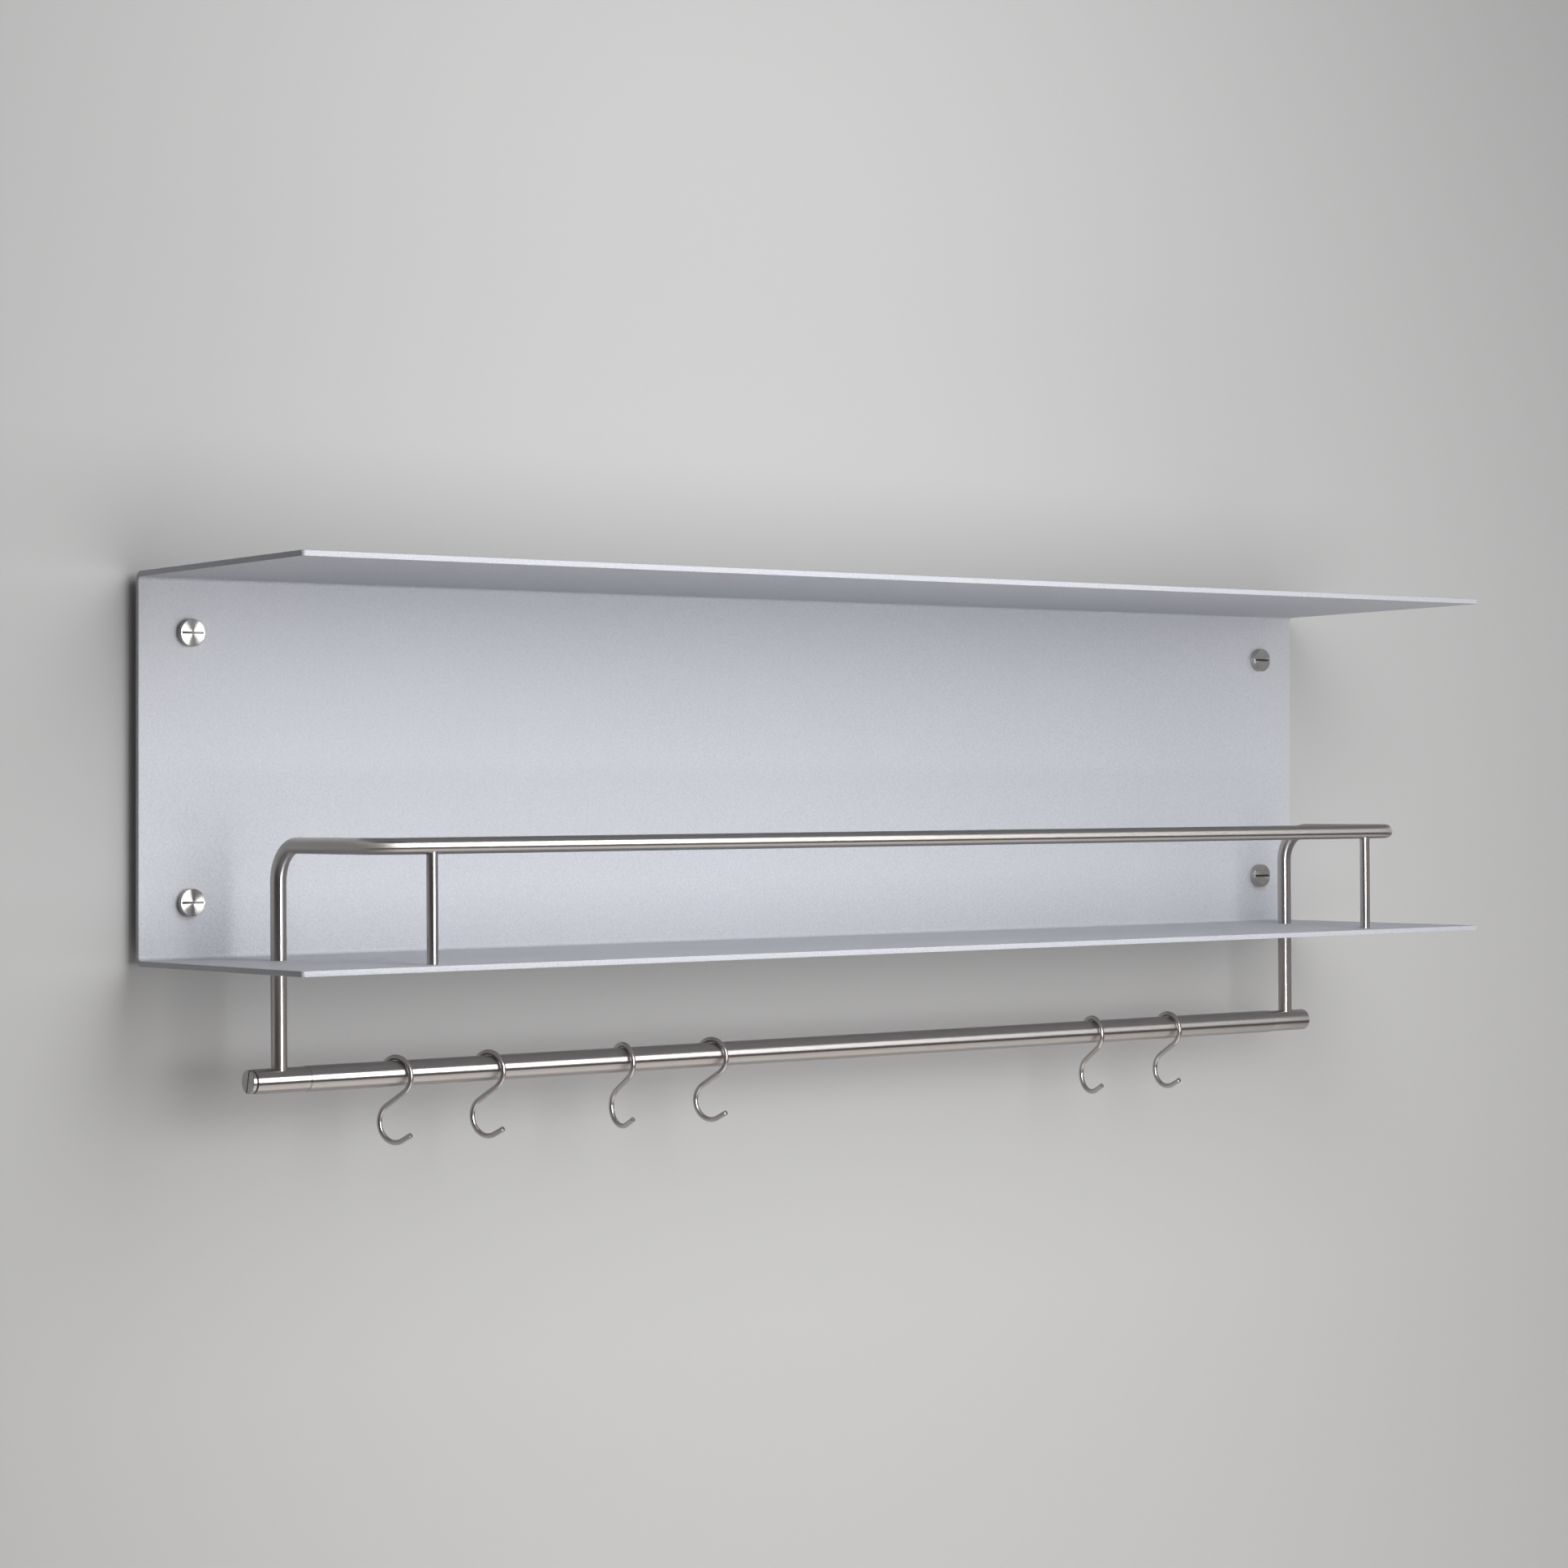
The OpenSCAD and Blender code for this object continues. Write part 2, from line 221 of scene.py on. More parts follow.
def cut_away(obj, cutter):
    """obj with cutter's volume taken out of it, for good."""
    mod = obj.modifiers.new("cut", "BOOLEAN")
    mod.operation = "DIFFERENCE"
    mod.solver = "EXACT"
    mod.object = cutter
    deps = bpy.context.evaluated_depsgraph_get()
    mesh = bpy.data.meshes.new_from_object(obj.evaluated_get(deps))
    obj.modifiers.clear()
    name = obj.data.name
    old = obj.data
    obj.data = mesh
    bpy.data.meshes.remove(old)
    mesh.name = name
    bpy.data.objects.remove(cutter)
    bm = bmesh.new()
    bm.from_mesh(mesh)
    for e in bm.edges:
        e.smooth = len(e.link_faces) != 2 or e.calc_face_angle(0) <= SHARP
    bm.to_mesh(mesh)
    bm.free()


def cutter_from(bm):
    bmesh.ops.recalc_face_normals(bm, faces=bm.faces)
    mesh = bpy.data.meshes.new("cutter")
    bm.to_mesh(mesh)
    bm.free()
    obj = bpy.data.objects.new("cutter", mesh)
    scene.collection.objects.link(obj)
    return obj


def box_mesh(bm, centre, x, y, z, size):
    turned = Matrix((x, y, z)).transposed().to_4x4()
    placed = Matrix.Translation(centre) @ turned @ Matrix.Diagonal((*size, 1))
    bmesh.ops.create_cube(bm, size=1.0, matrix=placed)


# ---------------------------------------------------------------- materials

FLAKES = 1300       # coat flakes to a metre
FLAKE_TIP = 0.23    # how far a flake tips, as a part of its normal
EDGE_PAINTED_SHADE = 0.88   # painted shade: how far the coat is painted darker on the shelves' front edges


def material(name):
    m = bpy.data.materials.new(name)
    m.use_nodes = True
    return m, m.node_tree, m.node_tree.nodes["Principled BSDF"]


def node(tree, kind, **values):
    n = tree.nodes.new(kind)
    for key, value in values.items():
        setattr(n, key, value)
    return n


def link(tree, a, b):
    tree.links.new(a, b)


def noise(tree, coords, scale, detail, rough=0.5, stretch=None):
    if stretch:
        m = node(tree, "ShaderNodeMapping")
        m.inputs["Scale"].default_value = stretch
        link(tree, coords, m.inputs["Vector"])
        coords = m.outputs["Vector"]
    n = node(tree, "ShaderNodeTexNoise")
    n.inputs["Scale"].default_value = scale
    n.inputs["Detail"].default_value = detail
    n.inputs["Roughness"].default_value = rough
    link(tree, coords, n.inputs["Vector"])
    return n.outputs["Fac"]


def remap(tree, value, lo, hi, to_lo, to_hi):
    n = node(tree, "ShaderNodeMapRange")
    n.inputs["From Min"].default_value = lo
    n.inputs["From Max"].default_value = hi
    n.inputs["To Min"].default_value = to_lo
    n.inputs["To Max"].default_value = to_hi
    link(tree, value, n.inputs["Value"])
    return n.outputs["Result"]


def calc(tree, a, b, op="ADD"):
    n = node(tree, "ShaderNodeMath", operation=op)
    for s, v in ((0, a), (1, b)):
        if hasattr(v, "links"):
            link(tree, v, n.inputs[s])
        else:
            n.inputs[s].default_value = v
    return n.outputs[0]


def ramp(tree, value, stops):
    n = node(tree, "ShaderNodeValToRGB")
    while len(n.color_ramp.elements) < len(stops):
        n.color_ramp.elements.new(0.5)
    for e, (pos, colour) in zip(n.color_ramp.elements, stops):
        e.position = pos
        e.color = (*colour, 1)
    link(tree, value, n.inputs["Fac"])
    return n.outputs["Color"]


def bump(tree, height, strength, distance, normal=None):
    n = node(tree, "ShaderNodeBump")
    n.inputs["Strength"].default_value = strength
    n.inputs["Distance"].default_value = distance
    link(tree, height, n.inputs["Height"])
    if normal is not None:
        link(tree, normal, n.inputs["Normal"])
    return n.outputs["Normal"]


def powder_coat():
    """Silver-grey metallic powder coat: small flakes that tip a little each way, over a fine grain."""
    m, t, b = material("powder_coat")
    coords = node(t, "ShaderNodeTexCoord").outputs["Object"]
    flake = node(t, "ShaderNodeTexVoronoi")
    flake.inputs["Scale"].default_value = FLAKES
    link(t, coords, flake.inputs["Vector"])
    shade = node(t, "ShaderNodeSeparateColor")
    link(t, flake.outputs["Color"], shade.inputs["Color"])
    broad = noise(t, coords, 3.0, 2.0)
    fine = noise(t, coords, 700, 3.0, 0.6)
    mix = calc(t, remap(t, shade.outputs["Red"], 0, 1, -0.13, 0.13),
              calc(t, remap(t, fine, 0.3, 0.7, -0.12, 0.12), remap(t, broad, 0.3, 0.7, -0.04, 0.04)))
    level = remap(t, mix, -0.3, 0.3, 0, 1)
    colour = ramp(t, level, [(0, (0.385, 0.397, 0.429)), (1, (0.515, 0.529, 0.569))])
    # painted shade: the shelves' front edges are painted darker, to hold down the light that falls on them
    depth = node(t, "ShaderNodeSeparateXYZ")
    link(t, coords, depth.inputs["Vector"])
    edge = remap(t, depth.outputs["Y"], sheet_lo.y + 0.0002, sheet_lo.y + 0.0008, EDGE_PAINTED_SHADE, 1)
    painted_edge_shade = node(t, "ShaderNodeVectorMath", operation="SCALE")
    link(t, colour, painted_edge_shade.inputs[0])
    link(t, edge, painted_edge_shade.inputs["Scale"])
    link(t, painted_edge_shade.outputs["Vector"], b.inputs["Base Color"])
    b.inputs["Metallic"].default_value = 0.05
    b.inputs["Specular IOR Level"].default_value = 0.3
    link(t, remap(t, fine, 0.3, 0.7, 0.50, 0.60), b.inputs["Roughness"])
    tip = node(t, "ShaderNodeVectorMath", operation="MULTIPLY_ADD")
    link(t, flake.outputs["Color"], tip.inputs[0])
    tip.inputs[1].default_value = (FLAKE_TIP,) * 3
    tip.inputs[2].default_value = (-FLAKE_TIP / 2,) * 3
    tipped = node(t, "ShaderNodeVectorMath", operation="ADD")
    link(t, tip.outputs["Vector"], tipped.inputs[0])
    link(t, node(t, "ShaderNodeNewGeometry").outputs["Normal"], tipped.inputs[1])
    unit = node(t, "ShaderNodeVectorMath", operation="NORMALIZE")
    link(t, tipped.outputs["Vector"], unit.inputs[0])
    peel = noise(t, coords, 420, 2.0, 0.5)
    link(t, bump(t, peel, 0.5, 0.00004, unit.outputs["Vector"]), b.inputs["Normal"])
    return m


def steel(name, colour, rough, anisotropy, radial=None):
    """Stainless steel. Round stock is ground around its axis, so its reflections stretch along it."""
    m, t, b = material(name)
    coords = node(t, "ShaderNodeTexCoord")
    tangent = node(t, "ShaderNodeTangent")
    if radial:
        tangent.direction_type = "RADIAL"
        tangent.axis = radial
        b.inputs["Anisotropic Rotation"].default_value = 0.25
    else:
        tangent.direction_type = "UV_MAP"
    link(t, tangent.outputs["Tangent"], b.inputs["Tangent"])
    b.inputs["Metallic"].default_value = 1
    b.inputs["Anisotropic"].default_value = anisotropy
    # grinding or turning lines run around the piece, so they only change along U
    lines = noise(t, coords.outputs["UV"], 60, 3.0, 0.7, stretch=(55, 0.8, 1))
    broad = noise(t, coords.outputs["Object"], 18, 3.0)
    level = calc(t, calc(t, lines, 0.85, "MULTIPLY"), calc(t, broad, 0.15, "MULTIPLY"))
    dark = tuple(c * 0.90 for c in colour)
    link(t, ramp(t, level, [(0.3, dark), (0.7, colour)]), b.inputs["Base Color"])
    link(t, remap(t, level, 0.3, 0.7, rough * 0.94, rough * 1.08), b.inputs["Roughness"])
    link(t, bump(t, lines, 0.1, 0.000002), b.inputs["Normal"])
    return m


def black_plastic():
    m, t, b = material("black_bush")
    coords = node(t, "ShaderNodeTexCoord").outputs["Object"]
    grain = noise(t, coords, 1200, 3.0, 0.6)
    colour = ramp(t, grain, [(0.3, (0.012, 0.012, 0.012)), (0.7, (0.03, 0.03, 0.03))])
    link(t, colour, b.inputs["Base Color"])
    link(t, remap(t, grain, 0.3, 0.7, 0.55, 0.75), b.inputs["Roughness"])
    link(t, bump(t, grain, 0.3, 0.00005), b.inputs["Normal"])
    return m


STEEL = (0.50, 0.475, 0.46)
MATERIALS = {
    "coat": powder_coat(),
    "ground": steel("ground_steel", STEEL, 0.31, 1.0),
    "wire": steel("drawn_steel", STEEL, 0.22, 0.6),
    "turned": steel("turned_steel", (0.50, 0.49, 0.48), 0.26, 1.0, radial="Y"),
    "turned_x": steel("turned_steel_end", (0.52, 0.505, 0.495), 0.33, 0.9, radial="X"),
    "screw": steel("socket_screw_steel", (0.30, 0.30, 0.31), 0.32, 0.2, radial="Z"),
    "bush": black_plastic(),
    # painted shade: a near-black steel painted into the screw slots and the end screw's groove, for the shade
    # inside them
    "slot": steel("slot_steel", (0.10, 0.098, 0.096), 0.45, 0.0, radial="Y"),
}


# ---------------------------------------------------------------- folded sheet

FRONT_ROUND = 0.00035   # rounding of the shelves' front edges
SIDE_ROUND = 0.0003     # rounding of the sheet's two side edges
LEG_CLEAR = 0.00015     # room around a leg in its hole
NECK_HOLE_R = 0.00315   # holes for the wall screws' necks, in the sheet and in the spacers
POST_HOLE_R = 0.00215
SINK_R = 0.00495        # the countersinks under the posts
SINK_DEPTH = 0.0018
PAST = 0.001            # how far a cutter starts outside what it cuts


def quarter(k):
    return [math.pi / 2 * i / k for i in range(k + 1)]


def sheet_section(shift, inset):
    """The closed outline of the folded sheet in the YZ plane, with its front edges drawn back by
    shift and all of it drawn in by inset."""
    edge = FRONT_ROUND
    top_z = sheet_hi.z - SHEET_T * math.cos(UPPER_RISE) - SHELF_DEPTH * math.sin(UPPER_RISE)
    top = Vector((0, panel_face, top_z))
    top_out = Vector((0, -math.cos(UPPER_RISE), math.sin(UPPER_RISE)))
    top_n = Vector((0, math.sin(UPPER_RISE), math.cos(UPPER_RISE)))
    low_n = -up
    back = Vector((0, 1, 0))
    reach = SHELF_DEPTH - shift - inset

    def fold(p, n_from, n_to, z_sign):
        turn = n_from.angle(n_to)
        centre = p + Vector((0, -FOLD_R, z_sign * FOLD_R * math.tan(turn / 2)))
        return centre, n_from, n_to

    top_fold = fold(top, top_n, back, -1)
    low_fold = fold(corner, back, low_n, 1)

    def side(q):
        pts = []
        for centre, n_from, n_to in (top_fold, low_fold):
            k = 10
            for i in range(k + 1):
                n = n_from.slerp(n_to, i / k) if i else n_from
                pts.append(centre + n * (FOLD_R + q))
        return pts

    def cap(p, d, n):
        c1 = p + d * (reach - edge) + n * (inset + edge)
        c2 = p + d * (reach - edge) + n * (SHEET_T - inset - edge)
        return ([c1 + (d * math.sin(a) - n * math.cos(a)) * edge for a in quarter(4)]
                + [c2 + (d * math.cos(a) + n * math.sin(a)) * edge for a in quarter(4)])

    low_cap = cap(corner, out, low_n)
    top_cap = cap(top, top_out, top_n)
    return side(inset) + low_cap + side(SHEET_T - inset)[::-1] + top_cap[::-1]


def corner_shift(s):
    """How far the front edge draws back at s past the start of its rounded corner."""
    return CORNER_R - math.sqrt(max(CORNER_R ** 2 - s ** 2, 0))


def sheet_slices():
    """Where the sheet's outlines stand along X, with each one's shift and inset."""
    edge = SIDE_ROUND
    flat = half_width - CORNER_R
    sweep_end = math.radians(68)
    slices = [(flat * s, 0.0, 0.0) for s in (0.0, 0.25, 0.5, 0.75, 1.0)]
    for i in range(1, 8):
        s = (CORNER_R - edge) * math.sin(sweep_end * i / 7) / math.sin(sweep_end)
        slices.append((flat + s, corner_shift(s), 0.0))
    for a in quarter(4)[1:]:
        s = CORNER_R - edge + edge * math.sin(a)
        slices.append((flat + s, corner_shift(s), edge * (1 - math.cos(a))))
    return [(-x, shift, inset) for x, shift, inset in slices[:0:-1]] + slices


def build_sheet():
    bm = bmesh.new()
    rings = []
    for x, shift, inset in sheet_slices():
        rings.append([bm.verts.new(p + east * x) for p in sheet_section(shift, inset)])
    for k in range(len(rings) - 1):
        a, b = rings[k], rings[k + 1]
        for i in range(len(a)):
            j = (i + 1) % len(a)
            f = bm.faces.new((a[i], a[j], b[j], b[i]))
            f.smooth = (a[i].co - a[j].co).length < 0.01
    for r in (rings[0], rings[-1]):
        bm.faces.new(r).smooth = False
    obj = finish_mesh("sheet", bm, "coat", stands_for=("shelf_body",))
    cut = bmesh.new()
    through = SHEET_T + 2 * PAST
    for side, s in SIDES:
        bore(cut, on_shelf(s * leg_x, leg_out, -SHEET_T - PAST), up, ROD_R + LEG_CLEAR, through)
        post_lo, post_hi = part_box("front_post_" + side)
        lathe(cut, on_shelf((post_lo.x + post_hi.x) / 2, bar_out, -SHEET_T - PAST), up,
              [(0, SINK_R), (PAST + SINK_DEPTH, POST_HOLE_R), (through, POST_HOLE_R)])
        for level in LEVELS:
            lo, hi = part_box(f"wall_screw_{level}_{side}")
            start = Vector(((lo.x + hi.x) / 2, panel_face - PAST, (lo.z + hi.z) / 2))
            bore(cut, start, into_wall, NECK_HOLE_R, through)
    cut_away(obj, cutter_from(cut))
    return obj


build_sheet()

# ---------------------------------------------------------------- gallery

ROD_CHAMFER = 0.0004
FOOT_CLEAR = 0.00002    # keeps a leg's foot off the floor of its bore


def build_gallery():
    foot = -rail_drop - LEG_SINK + FOOT_CLEAR
    heights = (foot, foot + ROD_CHAMFER, -rail_drop + 0.01, bar_rise - BEND_R)
    path = [on_shelf(-leg_x, leg_out, z) for z in heights]
    path += arc(on_shelf(-leg_x, leg_out + BEND_R, bar_rise - BEND_R), -out, up, BEND_R, 0, math.pi / 2, 20)
    path.append(on_shelf(-leg_x, bar_out - BEND_R, bar_rise))
    path += arc(on_shelf(-leg_x + BEND_R, bar_out - BEND_R, bar_rise), -east, out, BEND_R, 0, math.pi / 2, 20)
    radii = [ROD_R - ROD_CHAMFER] + [ROD_R] * (len(path) - 1)
    mirrored = [Vector((-p.x, p.y, p.z)) for p in path[::-1]]
    bm = bmesh.new()
    sweep(bm, path + mirrored, radii + radii[::-1], n=56, side=-out)
    finish_mesh("gallery_rod", bm, "ground", stands_for=("gallery_rail",))


build_gallery()


def build_post(side):
    node_name = "front_post_" + side
    lo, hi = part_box(node_name)
    x = (lo.x + hi.x) / 2
    n = 48
    chamfer = 0.0002
    bm = bmesh.new()
    rings, steps = [], []
    for z, r in ((0.00001, POST_R - chamfer), (chamfer, POST_R), (0.02, POST_R), (0.045, POST_R)):
        rings.append(ring(bm, on_shelf(x, bar_out, z), east, out, r, n))
        steps.append(z)
    # the top is coped to the bar's underside
    top = []
    for i in range(n):
        o = POST_R * math.sin(TAU * i / n)
        z = bar_rise - math.sqrt(ROD_R ** 2 - o ** 2)
        top.append(bm.verts.new(on_shelf(x + POST_R * math.cos(TAU * i / n), bar_out + o, z)))
    rings.append(top)
    steps.append(bar_rise - ROD_R)
    skin_rings(bm, rings, steps, GRAIN_ROUND)
    finish_mesh("post_" + side, bm, "ground", stands_for=(node_name,))


for side, _ in SIDES:
    build_post(side)

# ---------------------------------------------------------------- hook rail and its ends

def build_hook_rail():
    half = tube_hi.x
    bm = bmesh.new()
    end = [(0, RAIL_R - RAIL_WALL)] + rounding(0.0004, RAIL_R, 5)
    profile = end + [(half * s, RAIL_R) for s in (0.5, 1.0, 1.5)]
    profile += [(2 * half - d, r) for d, r in end[::-1]]
    tube(bm, rail_axis - east * half, profile, (east, out, up), 72)
    finish_mesh("rail_tube", bm, "ground", stands_for=("hook_rail",))


build_hook_rail()


SPIGOT_R = RAIL_R - RAIL_WALL - 0.00005
SEAT_R = ROD_R + 0.00005        # the legs' bores in the fittings
END_BORE_R = 0.00305            # the end screw's bore
GRUB_BORE_R = 0.00255           # the leg screw's bore


def end_profile(lo, hi, spigot):
    """An end fitting from its outer face to its shoulder and spigot."""
    r = (hi.z - lo.z) / 2
    e = 0.0005
    length = hi.x - lo.x
    face = [(0, r - e), (e * 0.3, r - e * 0.3), (e, r)]
    return face + [(length - spigot, r), (length - spigot, SPIGOT_R), (length - e, SPIGOT_R),
                   (length, SPIGOT_R - e)]


def build_rail_ends():
    for side, s in SIDES:
        lo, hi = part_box("rail_end_" + side)
        spigot = hi.x - tube_lo.x if side == "left" else tube_hi.x - lo.x
        axis = east * -s
        start = rail_axis + east * (lo.x if side == "left" else hi.x)
        bm = bmesh.new()
        lathe(bm, start, axis, end_profile(lo, hi, spigot), n=72, side=out)
        obj = finish_mesh("rail_end_" + side, bm, "ground", stands_for=("rail_end_" + side,))
        cut = bmesh.new()
        bore(cut, on_shelf(s * leg_x, leg_out, -rail_drop - LEG_SINK), up, SEAT_R, 0.02)
        if side == "left":
            bore(cut, start - axis * PAST, axis, END_BORE_R, 0.018)
        else:
            bore(cut, on_shelf(leg_x, leg_out, -rail_drop - 0.0125), up, GRUB_BORE_R, 0.012)
        cut_away(obj, cutter_from(cut))


build_rail_ends()


END_HEAD = 0.0025       # length of the end screw's head
END_GROOVE = 0.0008     # width of the groove behind it
END_GROOVE_R = 0.0065
END_SHANK_R = 0.003
END_SLOT_DEPTH = 0.0012
END_SLOT_WIDTH = 0.001
END_SLOT_TURN = math.radians(15)
NEAR = 0.00002          # how near two faces count as one place


def build_end_screw():
    lo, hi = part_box("end_screw")
    r = (hi.z - lo.z) / 2
    length = hi.x - lo.x
    chamfer = 0.0003
    bm = bmesh.new()
    face = [(0, 0.001)] + [(0, r * s) for s in (0.3, 0.6, 0.85)] + rounding(HEAD_EDGE, r, 4)
    back = END_HEAD + END_GROOVE
    profile = face + [(END_HEAD - chamfer, r), (END_HEAD, r - chamfer), (END_HEAD, END_GROOVE_R),
                      (back, END_GROOVE_R), (back, END_SHANK_R),
                      (length - 0.0004, END_SHANK_R), (length, END_SHANK_R - 0.0004)]
    lathe(bm, rail_axis + east * lo.x, east, profile, n=72, side=out)
    obj = finish_mesh("end_screw_head", bm, "turned_x", stands_for=("end_screw",))
    turn = Matrix.Rotation(END_SLOT_TURN, 3, "X")
    across = turn @ out
    cut = bmesh.new()
    slot_size = (2 * END_SLOT_DEPTH, END_SLOT_WIDTH, 0.03)
    box_mesh(cut, rail_axis + east * lo.x, east, across, turn @ up, slot_size)
    cut_away(obj, cutter_from(cut))
    # painted shade: the slot and the groove are painted dark inside, for the shade that falls in them
    obj.data.materials.append(MATERIALS["slot"])
    for f in obj.data.polygons:
        away = f.center - rail_axis
        depth = away.x - lo.x
        away.x = 0
        sunk = 0.0001 < depth < END_SLOT_DEPTH + 0.0001
        in_slot = sunk and abs(away.dot(across)) < END_SLOT_WIDTH / 2 + NEAR
        behind = END_HEAD - NEAR < depth < back + NEAR
        in_groove = behind and END_GROOVE_R - 0.0003 < away.length < r - 0.0002
        if in_slot or in_groove:
            f.material_index = 1


build_end_screw()

# ---------------------------------------------------------------- wall screws and spacers

NECK_R = 0.00275
HEAD_SLOT_INSET = 0.0008    # how far the slot stops short of the head's rim
HEAD_SLOT_DEPTH = 0.0012
HEAD_SLOT_WIDTH = 0.0015
THREAD_PITCH = 0.001
THREAD_ROOT_R = 0.00248
THREAD_DEPTH = 0.0005
THREAD_TAPER = 0.0008       # length over which the thread runs out at the stud's tip


def build_screw_head(name, face, r):
    """The head with its slot, and the neck as far as the wall. face is the middle of the head's face."""
    head = panel_face - face.y
    neck_end = -face.y
    chamfer = 0.0002
    bm = bmesh.new()
    profile = [(0, 0.0002)] + [(0, (r - HEAD_EDGE) * k / 4) for k in range(1, 4)] + rounding(HEAD_EDGE, r, 4)
    profile += [(head - chamfer, r), (head, r - chamfer), (head, NECK_R), (neck_end, NECK_R),
                (neck_end, NECK_R - 0.0005)]
    lathe(bm, face, into_wall, profile, n=96, side=east)
    obj = finish_mesh(name.replace("wall_screw", "screw_head"), bm, "turned", stands_for=(name,))
    # a disc on edge sinks the slot, so its floor is round and its ends are closed
    half = r - HEAD_SLOT_INSET
    disc_r = (half ** 2 + HEAD_SLOT_DEPTH ** 2) / (2 * HEAD_SLOT_DEPTH)
    disc_at = face + Vector((0, HEAD_SLOT_DEPTH - disc_r, -HEAD_SLOT_WIDTH / 2))
    cut = bmesh.new()
    lathe(cut, disc_at, Vector((0, 0, 1)), [(0, disc_r), (HEAD_SLOT_WIDTH, disc_r)], n=360, side=into_wall)
    cut_away(obj, cutter_from(cut))
    # painted shade: the slot's faces get the near-black steel, for the shade inside it
    obj.data.materials.append(MATERIALS["slot"])
    for f in obj.data.polygons:
        away = f.center - face
        sunk = 0.00005 < away.y < HEAD_SLOT_DEPTH + 0.0001
        if sunk and math.hypot(away.x, away.z) < half:
            f.material_index = 1


def build_thread(name, face, start, end):
    """A helical surface, cut off square at both ends. start and end are distances from the head's face."""
    bm = bmesh.new()
    n = 32
    per_turn = 8
    length = end - start
    rows = int(length / THREAD_PITCH * per_turn)
    rings, steps = [], []
    for k in range(rows + 1):
        d = start + length * k / rows
        taper = min(1.0, (end - d) / THREAD_TAPER + 0.05)
        row = []
        for i in range(n):
            a = TAU * i / n
            phase = (d / THREAD_PITCH - i / n) % 1.0
            crest = min(1.0, 1.3 * (1 - abs(2 * phase - 1)))
            r = THREAD_ROOT_R + THREAD_DEPTH * crest * taper
            row.append(bm.verts.new((face.x + r * math.cos(a), face.y + d, face.z + r * math.sin(a))))
        rings.append(row)
        steps.append(d)
    skin_rings(bm, rings, steps, GRAIN_ROUND)
    finish_mesh(name.replace("wall_screw", "screw_thread"), bm, "turned", sharp=math.radians(75))


def build_wall_screw(level, side):
    name = f"wall_screw_{level}_{side}"
    lo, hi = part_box(name)
    face = Vector(((lo.x + hi.x) / 2, lo.y, (lo.z + hi.z) / 2))
    build_screw_head(name, face, (hi.x - lo.x) / 2)
    build_thread(name, face, -lo.y, hi.y - lo.y)


def build_spacer(level, side):
    name = f"wall_spacer_{level}_{side}"
    lo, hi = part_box(name)
    length = hi.y - lo.y
    bm = bmesh.new()
    end = [(0, NECK_HOLE_R)] + rounding(0.0005, (hi.x - lo.x) / 2, 4)
    profile = end + [(length - d, r) for d, r in end[::-1]]
    origin = Vector(((lo.x + hi.x) / 2, lo.y, (lo.z + hi.z) / 2))
    tube(bm, origin, profile, (into_wall, east, Vector((0, 0, 1))), 56)
    finish_mesh(f"spacer_{level}_{side}", bm, "bush", stands_for=(name,))


for level in LEVELS:
    for side, _ in SIDES:
        build_wall_screw(level, side)
        build_spacer(level, side)

# ---------------------------------------------------------------- S-hooks

LOOP_R = 0.0117
BOWL_R = 0.0122
LOOP_TO_BOWL = 0.029
BOWL_BACK = 0.001
TIP_SLOPE = math.radians(28)
TIP_LENGTH = 0.008
LOOP_END = math.radians(160)
HOOK_GAP = 0.0003
WIRE_CHAMFER = 0.00025
# how far each loose hook is turned about the upright, in degrees
HOOK_TURN = {1: 18.5, 2: 17.5, 3: -1.5, 4: 17, 5: -7, 6: 1.5}


def build_hook(n):
    centre = Vector(joints[f"hook_{n}"]["pos_m"])
    turn = math.radians(HOOK_TURN[n])
    front = Vector((math.sin(turn), -math.cos(turn), 0))
    top = Vector((0, 0, 1))
    loop = centre + top * (RAIL_R + HOOK_GAP + WIRE_R - LOOP_R)
    bowl = loop - front * BOWL_BACK - top * LOOP_TO_BOWL
    gap = math.hypot(BOWL_BACK, LOOP_TO_BOWL)
    stem = math.atan2(-LOOP_TO_BOWL, -BOWL_BACK) + math.acos((LOOP_R + BOWL_R) / gap)
    first = loop + front * (LOOP_R * math.cos(LOOP_END)) + top * (LOOP_R * math.sin(LOOP_END))
    path = [first] + arc(loop, front, top, LOOP_R, LOOP_END, stem, 44)
    start = bowl + front * (BOWL_R * math.cos(stem + math.pi)) + top * (BOWL_R * math.sin(stem + math.pi))
    path += [start] + arc(bowl, front, top, BOWL_R, stem + math.pi, 1.5 * math.pi + TIP_SLOPE, 40)
    along = front * math.cos(TIP_SLOPE) + top * math.sin(TIP_SLOPE)
    path += [path[-1] + along * (TIP_LENGTH - WIRE_CHAMFER), path[-1] + along * TIP_LENGTH]
    # a short chamfer at each cut end
    path = [first, first + heading(first, path[1]) * WIRE_CHAMFER] + path[1:]
    radii = [WIRE_R - WIRE_CHAMFER] + [WIRE_R] * (len(path) - 2) + [WIRE_R - WIRE_CHAMFER]
    bm = bmesh.new()
    sweep(bm, path, radii, n=38, side=front.cross(top))
    finish_mesh(f"hook_wire_{n}", bm, "wire", body=f"hook_{n}", stands_for=(f"s_hook_{n}",))


for n in range(1, 7):
    build_hook(n)

# ---------------------------------------------------------------- carried-over CAD nodes

for name in ("post_screw_left", "post_screw_right", "leg_screw"):
    obj = frame["nodes"][name]
    obj.data.materials.clear()
    obj.data.materials.append(MATERIALS["screw"])

# ---------------------------------------------------------------- stage: wall, floor, lights, camera

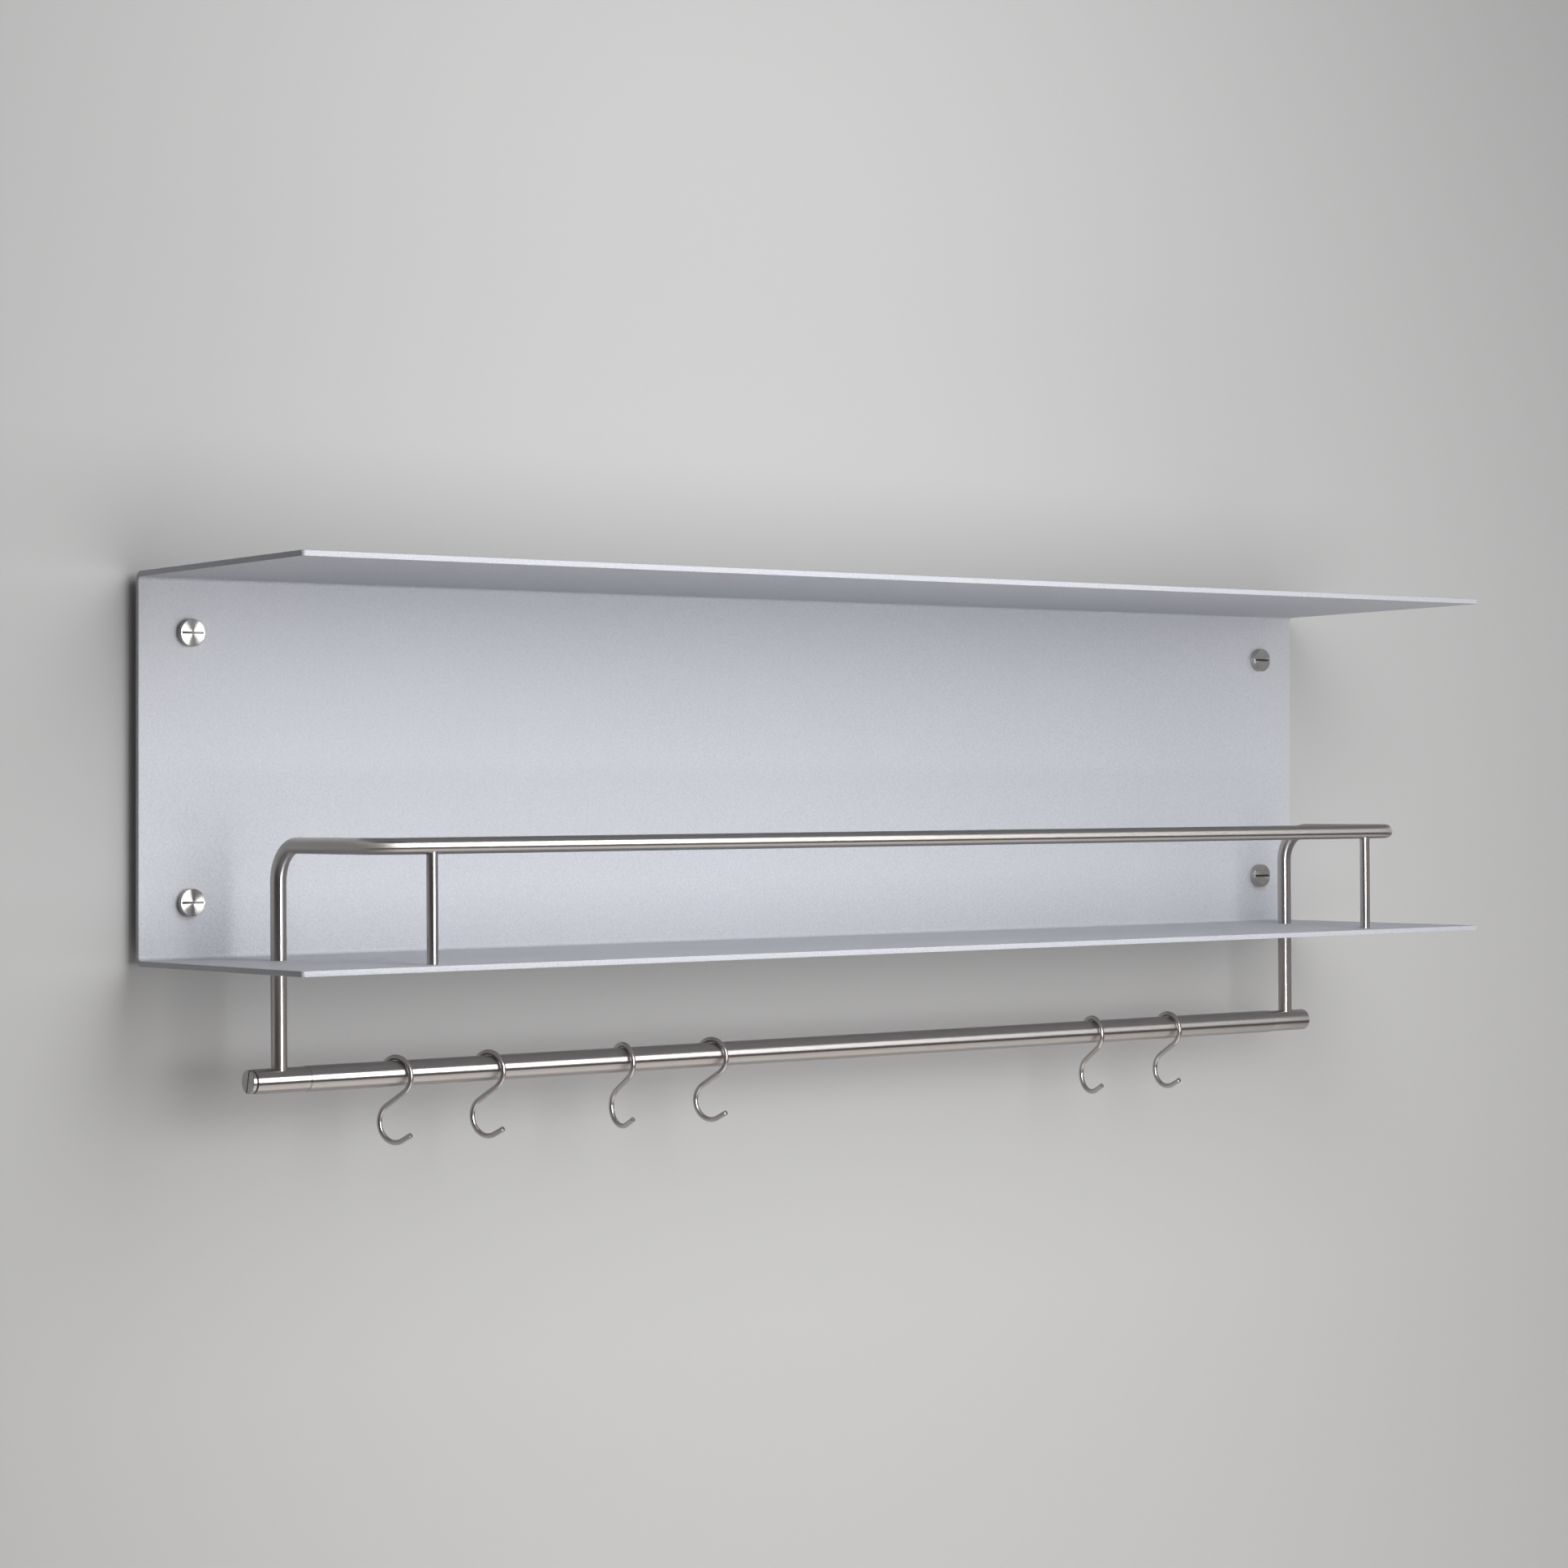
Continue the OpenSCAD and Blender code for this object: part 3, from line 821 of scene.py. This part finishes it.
def stage_plane(name, corners, colour, one_sided=False):
    """A flat stage piece: four corners, or four outer ones and then four of an opening in it."""
    mesh = bpy.data.meshes.new(name)
    faces = [(0, 1, 2, 3)]
    if len(corners) == 8:
        faces = [(i, (i + 1) % 4, (i + 1) % 4 + 4, i + 4) for i in range(4)]
    mesh.from_pydata([Vector(c) for c in corners], [], faces)
    obj = bpy.data.objects.new(name, mesh)
    scene.collection.objects.link(obj)
    m = bpy.data.materials.new(name)
    m.use_nodes = True
    t = m.node_tree
    b = t.nodes["Principled BSDF"]
    b.inputs["Base Color"].default_value = (*colour, 1)
    b.inputs["Roughness"].default_value = 0.9
    b.inputs["Specular IOR Level"].default_value = 0.1
    if one_sided:
        clear = node(t, "ShaderNodeBsdfTransparent")
        mix = node(t, "ShaderNodeMixShader")
        geometry = node(t, "ShaderNodeNewGeometry")
        link(t, geometry.outputs["Backfacing"], mix.inputs["Fac"])
        link(t, b.outputs["BSDF"], mix.inputs[1])
        link(t, clear.outputs["BSDF"], mix.inputs[2])
        link(t, mix.outputs["Shader"], t.nodes["Material Output"].inputs["Surface"])
    mesh.materials.append(m)
    return obj


FLOOR_Z = -1.4
stage_plane("floor", [(-9, -9, FLOOR_Z), (9, -9, FLOOR_Z), (9, 9, FLOOR_Z), (-9, 9, FLOOR_Z)],
            (0.62, 0.60, 0.58))
# The wall is clear from behind, and open behind the panel so that light reaches the panel's back
OPEN_X, OPEN_Z = half_width - 0.015, 0.105
stage_plane("wall", [(-6, 0, FLOOR_Z), (6, 0, FLOOR_Z), (6, 0, 3), (-6, 0, 3),
                     (-OPEN_X, 0, -OPEN_Z), (OPEN_X, 0, -OPEN_Z), (OPEN_X, 0, OPEN_Z), (-OPEN_X, 0, OPEN_Z)],
            (0.43, 0.43, 0.43), one_sided=True)


def area_light(name, at, aim, size, energy, colour=(1, 1, 1), glossy=True):
    data = bpy.data.lights.new(name, "AREA")
    data.shape = "RECTANGLE"
    data.size, data.size_y = size
    data.energy = energy
    data.color = colour
    obj = bpy.data.objects.new(name, data)
    scene.collection.objects.link(obj)
    obj.location = at
    obj.rotation_euler = (Vector(aim) - Vector(at)).to_track_quat("-Z", "Y").to_euler()
    obj.visible_camera = False
    obj.visible_glossy = glossy
    return obj


area_light("softbox", (-0.09, -1.14, 0.26), (0.0, 0.0, -0.12), (0.74, 1.3), 17.6, glossy=False)
glint = area_light("softbox_glint", (-0.195, -1.14, 0.15), (-0.11, 0.0, -0.10), (0.50, 0.96), 22)
glint.visible_diffuse = False
area_light("bounce_card", (0.2, -0.6, -1.1), (0.15, 0.0, -0.15), (2.3, 1.1), 6.0, (1.0, 0.955, 0.925))
area_light("fill_back", (-0.9, 2.2, 0.8), (0.0, 0.0, 0.0), (1.6, 1.2), 22)
area_light("fill_front", (0.1, -2.6, -0.5), (0.0, 0.0, -0.1), (2.4, 1.4), 6.5, glossy=False)
area_light("fill_right", (1.9, -2.0, 0.1), (0.4, 0.0, 0.05), (1.6, 1.4), 14, glossy=False)


def studio_world():
    """What stands round the rack: dark to the front left and grey elsewhere, lightest to the front right."""
    world = bpy.data.worlds.new("studio")
    scene.world = world
    world.use_nodes = True
    t = world.node_tree
    way = node(t, "ShaderNodeSeparateXYZ")
    link(t, node(t, "ShaderNodeTexCoord").outputs["Generated"], way.inputs["Vector"])
    front = calc(t, way.outputs["Y"], -1.0, "MULTIPLY")
    azimuth = calc(t, way.outputs["X"], front, "ARCTAN2")
    place = remap(t, azimuth, -math.pi, math.pi, 0, 1)

    def at(degrees):
        return (degrees + 180) / 360

    grey = ramp(t, place, [
        (at(-130), (0.22, 0.21, 0.205)),
        (at(-80), (0.15, 0.14, 0.135)),
        (at(-56), (0.015, 0.013, 0.012)),
        (at(-18), (0.015, 0.013, 0.012)),
        (at(22), (0.34, 0.335, 0.335)),
        (at(50), (0.60, 0.59, 0.60)),
        (at(72), (0.28, 0.28, 0.285)),
        (at(110), (0.30, 0.30, 0.31)),
    ])
    link(t, grey, t.nodes["Background"].inputs["Color"])
    t.nodes["Background"].inputs["Strength"].default_value = 1.0


studio_world()

cam_data = bpy.data.cameras.new("camera")
cam_data.sensor_fit = "HORIZONTAL"
cam_data.sensor_width = 36
cam_data.lens = 85.94
cam_data.shift_y = -0.00975
cam_data.clip_start = 0.05
cam = bpy.data.objects.new("camera", cam_data)
scene.collection.objects.link(cam)
cam.location = (-1.60768, -2.02883, -0.00064)
cam.rotation_euler = (math.pi / 2, 0, -0.6726)
scene.camera = cam

scene.view_settings.view_transform = "Standard"
scene.view_settings.look = "None"
scene.view_settings.exposure = 0
scene.view_settings.gamma = 1
